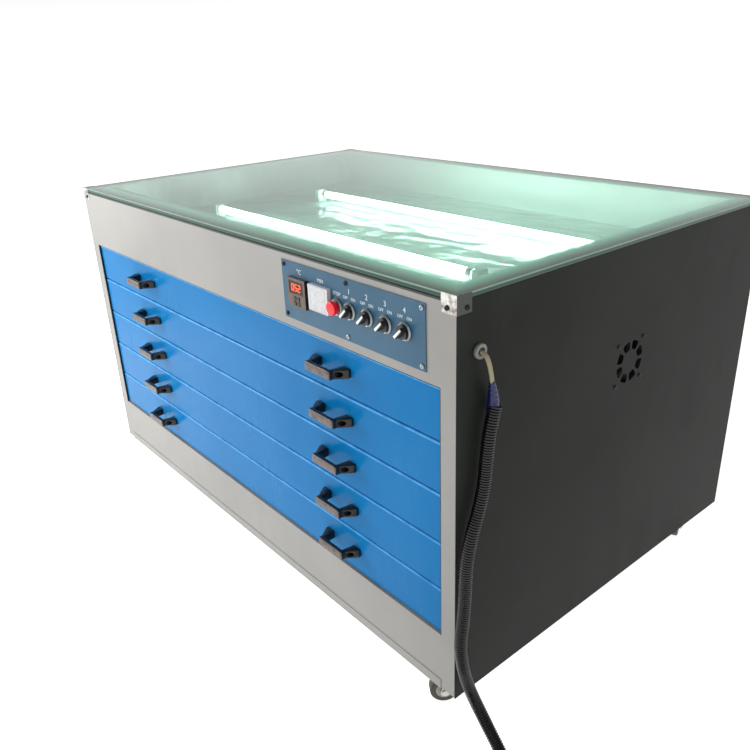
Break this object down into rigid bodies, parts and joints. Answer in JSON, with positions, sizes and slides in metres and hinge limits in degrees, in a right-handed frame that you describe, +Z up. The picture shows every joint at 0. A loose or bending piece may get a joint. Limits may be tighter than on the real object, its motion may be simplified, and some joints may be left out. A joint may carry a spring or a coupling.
{
  "type": "screen printing dryer",
  "caption": "Free-standing drying cabinet for printed screens: shallow pull-out drawers behind blue fronts, a glass-topped light box above, a switch panel, castors and a supply lead.",
  "frame": {"origin": "on the floor, under the middle of the cabinet with its drawer handles", "axes": "+X to the right as seen from the front, +Y to the back, +Z up; the drawers open along -Y"},
  "size_m": [1.5533, 1.1506, 0.7474],
  "materials": {
    "light_enamel": "satin paint, light warm grey",
    "blue_enamel": "gloss paint, sky blue",
    "charcoal_enamel": "satin paint, dark charcoal",
    "plate_blue": "satin paint, slate blue",
    "zinc_sheet": "dull zinc-plated sheet",
    "bright_clip": "bright plated sheet, handled",
    "screw_steel": "bright plated",
    "selector_ring": "satin plated",
    "glass": "clear float glass, green at its edges",
    "rim_paint": "satin paint, dark grey under the glass",
    "tray_white": "gloss white paint",
    "lamp_glass": "white coated glass tube",
    "holder_white": "white moulded",
    "bezel_black": "black moulded",
    "key_grey": "dark grey moulded",
    "timer_white": "white moulded",
    "lever_black": "black moulded",
    "stop_red": "red moulded",
    "handle_black": "black moulded",
    "fan_black": "black moulded",
    "heater_steel": "dull steel",
    "castor_zinc": "zinc-plated pressing",
    "castor_tyre": "dark brown rubber",
    "gland_grey": "grey moulded",
    "cable_grey": "grey-beige sheath",
    "conduit_black": "black corrugated",
    "plug_black": "black moulded"
  },
  "bodies": {
    "cabinet": {"corner_posts": "light_enamel", "bottom_pan": "zinc_sheet", "left_side_panel": "charcoal_enamel", "right_side_panel": "charcoal_enamel", "back_panel": "charcoal_enamel", "kick_panel": "light_enamel", "upper_fascia": "light_enamel", "top_rim": "rim_paint", "light_box_tray": "tray_white", "lamp_tubes": "lamp_glass", "lamp_holders": "holder_white", "glass_top": "glass", "corner_clips": "bright_clip", "pan_head_screws": "screw_steel", "control_plate": "plate_blue", "temperature_controller": "bezel_black", "timer": "timer_white", "switch_collars": "selector_ring", "cabinet_runners": "zinc_sheet", "fan_frame": "fan_black", "heater_elements": "heater_steel", "castor_plates": "castor_zinc", "gland": "gland_grey", "supply_cable": "cable_grey", "conduit": "conduit_black", "conduit_coil": "conduit_black", "plug": "plug_black"},
    "drawer_1": {"drawer_1_front": "blue_enamel", "drawer_1_tray": "zinc_sheet", "drawer_1_handles": "handle_black"},
    "drawer_2": {"drawer_2_front": "blue_enamel", "drawer_2_tray": "zinc_sheet", "drawer_2_handles": "handle_black"},
    "drawer_3": {"drawer_3_front": "blue_enamel", "drawer_3_tray": "zinc_sheet", "drawer_3_handles": "handle_black"},
    "drawer_4": {"drawer_4_front": "blue_enamel", "drawer_4_tray": "zinc_sheet", "drawer_4_handles": "handle_black"},
    "drawer_5": {"drawer_5_front": "blue_enamel", "drawer_5_tray": "zinc_sheet", "drawer_5_handles": "handle_black"},
    "selector_1": {"selector_knob_1": "lever_black"},
    "selector_2": {"selector_knob_2": "lever_black"},
    "selector_3": {"selector_knob_3": "lever_black"},
    "selector_4": {"selector_knob_4": "lever_black"},
    "stop_button": {"stop_button": "stop_red"},
    "key_lower_left": {"key_lower_left": "key_grey"},
    "key_upper_left": {"key_upper_left": "key_grey"},
    "key_lower_right": {"key_lower_right": "key_grey"},
    "key_upper_right": {"key_upper_right": "key_grey"},
    "fan_rotor": {"fan_rotor": "fan_black"},
    "castor_fork_front_left": {"castor_fork_front_left": "castor_zinc"},
    "castor_wheel_front_left": {"castor_wheel_front_left": "castor_tyre"},
    "castor_fork_front_right": {"castor_fork_front_right": "castor_zinc"},
    "castor_wheel_front_right": {"castor_wheel_front_right": "castor_tyre"},
    "castor_fork_rear_left": {"castor_fork_rear_left": "castor_zinc"},
    "castor_wheel_rear_left": {"castor_wheel_rear_left": "castor_tyre"},
    "castor_fork_rear_right": {"castor_fork_rear_right": "castor_zinc"},
    "castor_wheel_rear_right": {"castor_wheel_rear_right": "castor_tyre"}
  },
  "joints": [
    {"name": "drawer_1_slide", "type": "slide", "parent": "cabinet", "child": "drawer_1", "axis": [0, -1, 0], "range_m": [0, 0.6]},
    {"name": "drawer_2_slide", "type": "slide", "parent": "cabinet", "child": "drawer_2", "axis": [0, -1, 0], "range_m": [0, 0.6]},
    {"name": "drawer_3_slide", "type": "slide", "parent": "cabinet", "child": "drawer_3", "axis": [0, -1, 0], "range_m": [0, 0.6]},
    {"name": "drawer_4_slide", "type": "slide", "parent": "cabinet", "child": "drawer_4", "axis": [0, -1, 0], "range_m": [0, 0.6]},
    {"name": "drawer_5_slide", "type": "slide", "parent": "cabinet", "child": "drawer_5", "axis": [0, -1, 0], "range_m": [0, 0.6]},
    {"name": "selector_1_turn", "type": "hinge", "parent": "cabinet", "child": "selector_1", "pos_m": [0.4065, -0.404, 0.6758], "axis": [0, -1, 0], "range_deg": [0, 90]},
    {"name": "selector_2_turn", "type": "hinge", "parent": "cabinet", "child": "selector_2", "pos_m": [0.4469, -0.404, 0.6758], "axis": [0, -1, 0], "range_deg": [0, 90]},
    {"name": "selector_3_turn", "type": "hinge", "parent": "cabinet", "child": "selector_3", "pos_m": [0.4873, -0.404, 0.6758], "axis": [0, -1, 0], "range_deg": [0, 90]},
    {"name": "selector_4_turn", "type": "hinge", "parent": "cabinet", "child": "selector_4", "pos_m": [0.5277, -0.404, 0.6758], "axis": [0, -1, 0], "range_deg": [0, 90]},
    {"name": "stop_button_press", "type": "slide", "parent": "cabinet", "child": "stop_button", "axis": [0, 1, 0], "range_m": [0, 0.003], "stiffness_N_per_m": 500, "springref_m": -0.001},
    {"name": "key_lower_left_press", "type": "slide", "parent": "cabinet", "child": "key_lower_left", "axis": [0, 1, 0], "range_m": [0, 0.0008], "stiffness_N_per_m": 600, "springref_m": -0.0005},
    {"name": "key_upper_left_press", "type": "slide", "parent": "cabinet", "child": "key_upper_left", "axis": [0, 1, 0], "range_m": [0, 0.0008], "stiffness_N_per_m": 600, "springref_m": -0.0005},
    {"name": "key_lower_right_press", "type": "slide", "parent": "cabinet", "child": "key_lower_right", "axis": [0, 1, 0], "range_m": [0, 0.0008], "stiffness_N_per_m": 600, "springref_m": -0.0005},
    {"name": "key_upper_right_press", "type": "slide", "parent": "cabinet", "child": "key_upper_right", "axis": [0, 1, 0], "range_m": [0, 0.0008], "stiffness_N_per_m": 600, "springref_m": -0.0005},
    {"name": "fan_spin", "type": "hinge", "parent": "cabinet", "child": "fan_rotor", "pos_m": [0.61, 0.0131, 0.5366], "axis": [1, 0, 0], "continuous": true},
    {"name": "castor_swivel_front_left", "type": "hinge", "parent": "cabinet", "child": "castor_fork_front_left", "pos_m": [-0.57, -0.3435, 0.065], "axis": [0, 0, 1], "continuous": true},
    {"name": "castor_roll_front_left", "type": "hinge", "parent": "castor_fork_front_left", "child": "castor_wheel_front_left", "pos_m": [-0.56384, -0.32659, 0.025], "axis": [-0.9397, 0.342, 0], "continuous": true},
    {"name": "castor_swivel_front_right", "type": "hinge", "parent": "cabinet", "child": "castor_fork_front_right", "pos_m": [0.57, -0.3435, 0.065], "axis": [0, 0, 1], "continuous": true},
    {"name": "castor_roll_front_right", "type": "hinge", "parent": "castor_fork_front_right", "child": "castor_wheel_front_right", "pos_m": [0.55968, -0.35824, 0.025], "axis": [0.8192, -0.5736, 0], "continuous": true},
    {"name": "castor_swivel_rear_left", "type": "hinge", "parent": "cabinet", "child": "castor_fork_rear_left", "pos_m": [-0.57, 0.3715, 0.065], "axis": [0, 0, 1], "continuous": true},
    {"name": "castor_roll_rear_left", "type": "hinge", "parent": "castor_fork_rear_left", "child": "castor_wheel_rear_left", "pos_m": [-0.561, 0.38709, 0.025], "axis": [-0.866, 0.5, 0], "continuous": true},
    {"name": "castor_swivel_rear_right", "type": "hinge", "parent": "cabinet", "child": "castor_fork_rear_right", "pos_m": [0.57, 0.3715, 0.065], "axis": [0, 0, 1], "continuous": true},
    {"name": "castor_roll_rear_right", "type": "hinge", "parent": "castor_fork_rear_right", "child": "castor_wheel_rear_right", "pos_m": [0.57616, 0.35459, 0.025], "axis": [0.9397, 0.342, 0], "continuous": true}
  ]
}
